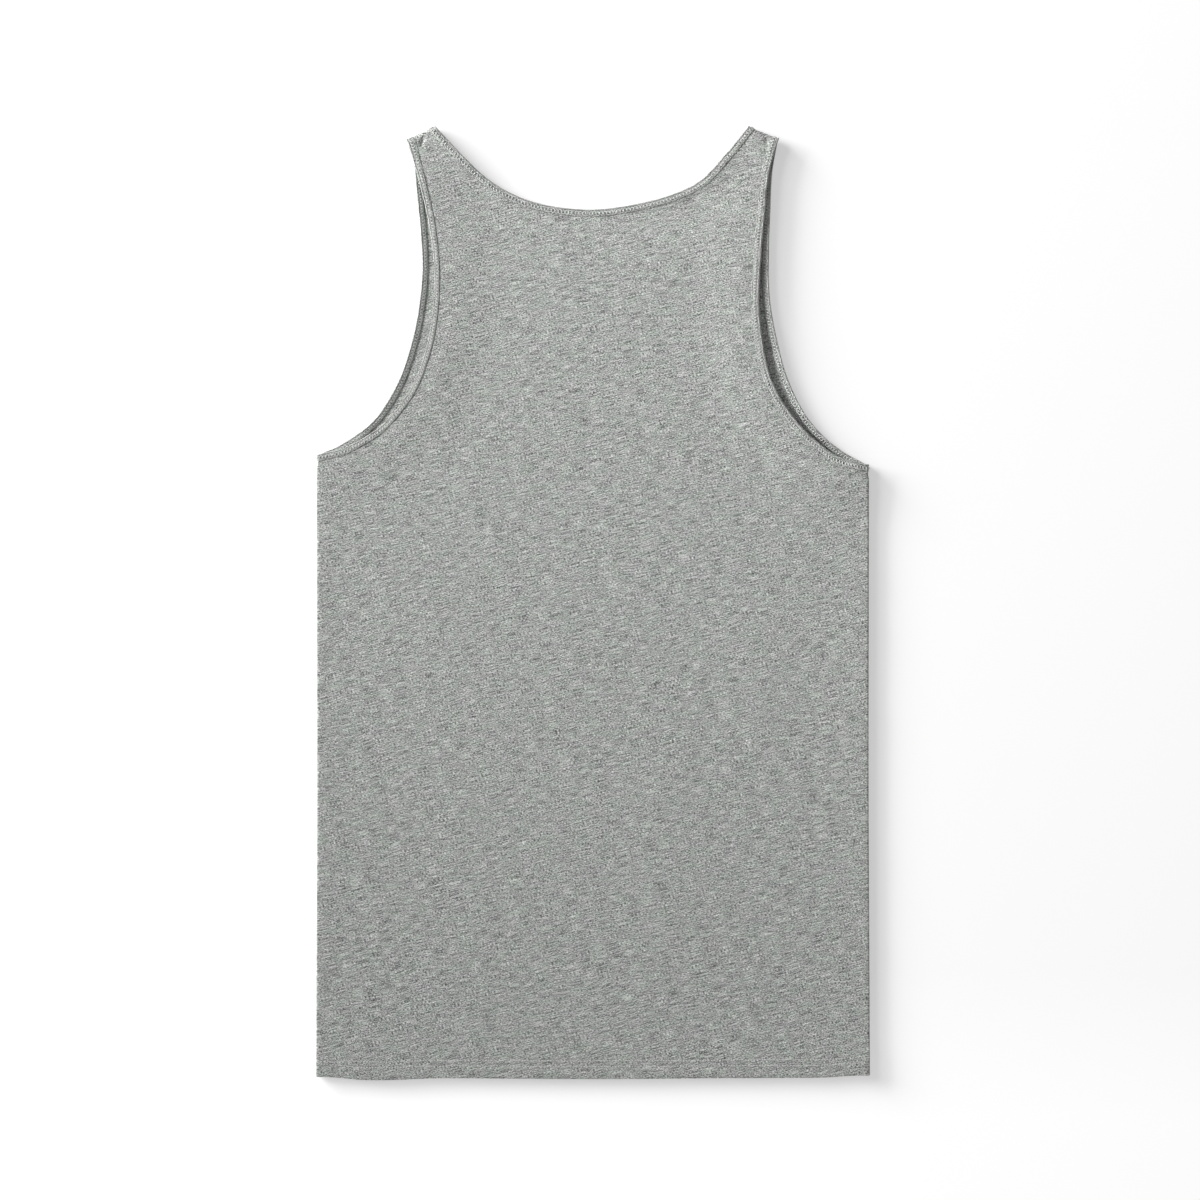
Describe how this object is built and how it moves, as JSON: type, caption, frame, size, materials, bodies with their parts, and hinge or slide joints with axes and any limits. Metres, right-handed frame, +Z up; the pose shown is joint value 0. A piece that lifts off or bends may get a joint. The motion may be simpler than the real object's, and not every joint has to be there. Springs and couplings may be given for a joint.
{
  "type": "tank top",
  "caption": "Sleeveless jersey tank top laid flat, back uppermost, with bound neck and armholes and a turned hem.",
  "frame": {"origin": "middle of the garment's outline on the surface it lies on", "axes": "+Y from the hem to the shoulders, +X to the right as seen from above with the back uppermost, +Z up from the surface"},
  "size_m": [0.4515, 0.7746, 0.0075],
  "materials": {
    "jersey": "fine grey heather cotton jersey, matt with a slight nap",
    "jersey_binding": "the same jersey cut as a folded strip and cover-stitched in pale grey thread"
  },
  "bodies": {
    "root": {"back_panel": "jersey", "front_panel": "jersey", "neck_binding": "jersey_binding", "armhole_binding_left": "jersey_binding", "armhole_binding_right": "jersey_binding"}
  },
  "joints": []
}
